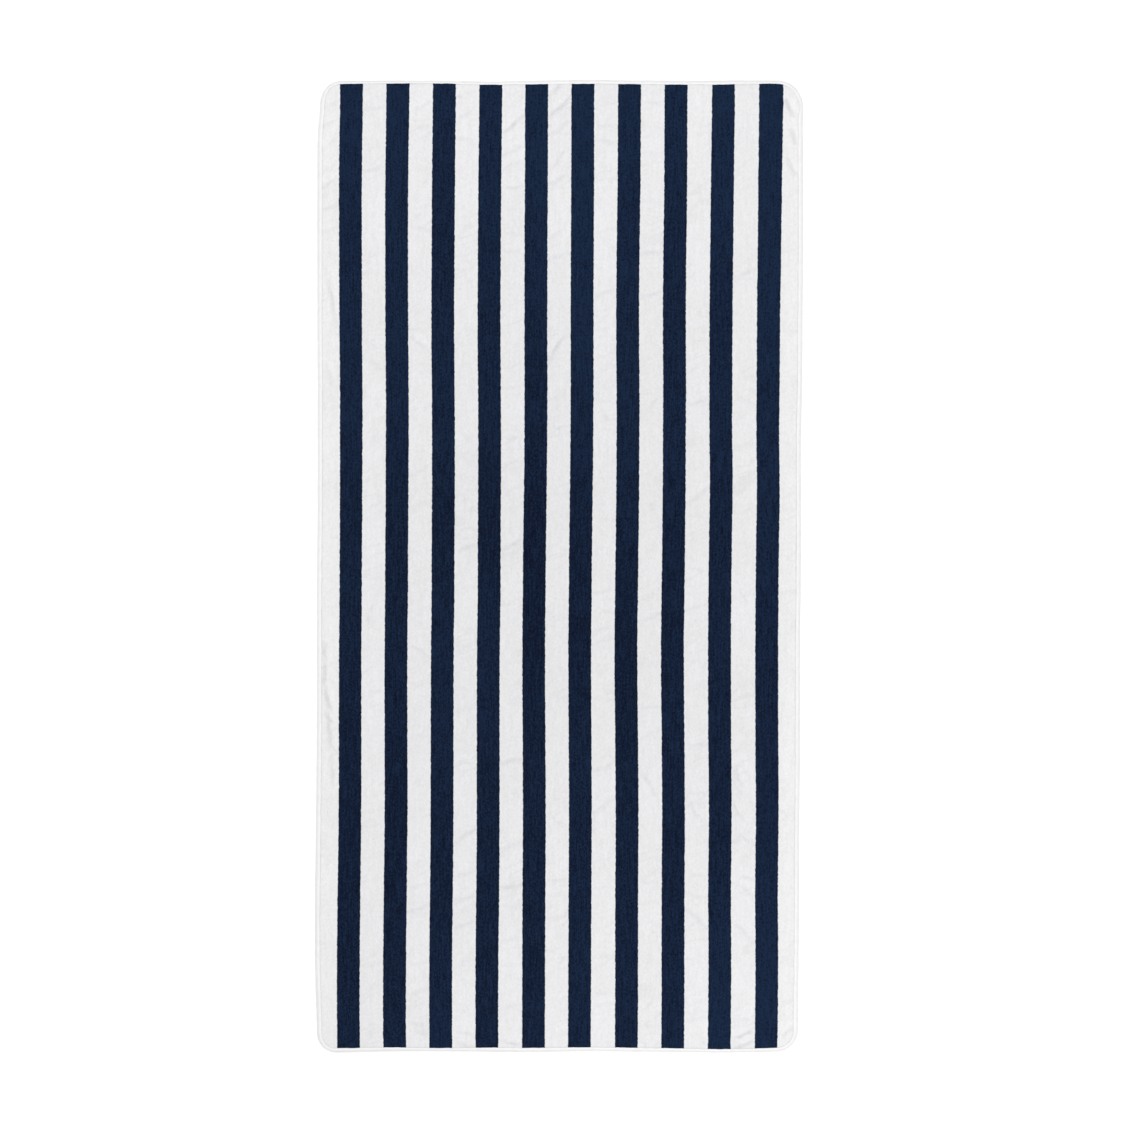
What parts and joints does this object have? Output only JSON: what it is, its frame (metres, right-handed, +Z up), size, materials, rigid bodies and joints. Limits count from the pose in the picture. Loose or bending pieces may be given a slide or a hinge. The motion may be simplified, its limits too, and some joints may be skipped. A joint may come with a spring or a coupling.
{
  "type": "beach towel",
  "caption": "Rectangular terry velour beach towel with rounded corners, laid flat, with broad lengthwise stripes, soft folds and a narrow bound edge.",
  "frame": {"origin": "middle of the towel's outline, on the surface it lies on", "axes": "+Z up out of the velour face, +Y along the towel to its head end, +X across its width"},
  "size_m": [0.9056, 1.8058, 0.0052],
  "materials": {
    "terry_velour": "sheared cotton pile, white ground with navy lengthwise stripes",
    "cotton_tape": "plain woven white cotton tape, stitched"
  },
  "bodies": {
    "root": {"towel_cloth": "terry_velour", "edge_binding": "cotton_tape"}
  },
  "joints": []
}
